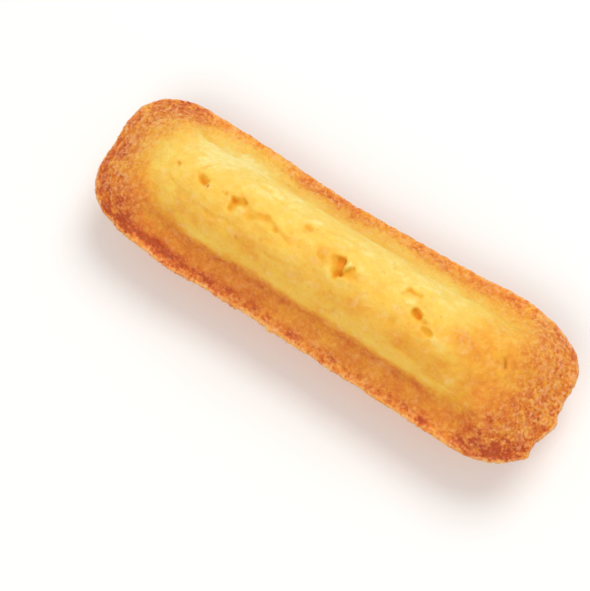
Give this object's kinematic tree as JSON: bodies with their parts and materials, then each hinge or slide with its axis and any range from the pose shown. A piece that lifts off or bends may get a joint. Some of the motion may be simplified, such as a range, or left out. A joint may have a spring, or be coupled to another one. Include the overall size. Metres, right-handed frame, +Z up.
{
  "type": "madeleine",
  "caption": "Long madeleine: a golden sponge cake with a domed, torn crest, a browned cove inside a thin rim lip, and a fluted boat-shaped underside.",
  "frame": {"origin": "under the middle of the cake, on the flat of the keel that it rests on", "axes": "+X along the cake, +Y across it, +Z up out of the domed top"},
  "size_m": [0.1057, 0.0331, 0.0261],
  "materials": {
    "crust": "matt golden sponge crust, browned at the rim and ends"
  },
  "bodies": {
    "root": {"cake": "crust"}
  },
  "joints": []
}
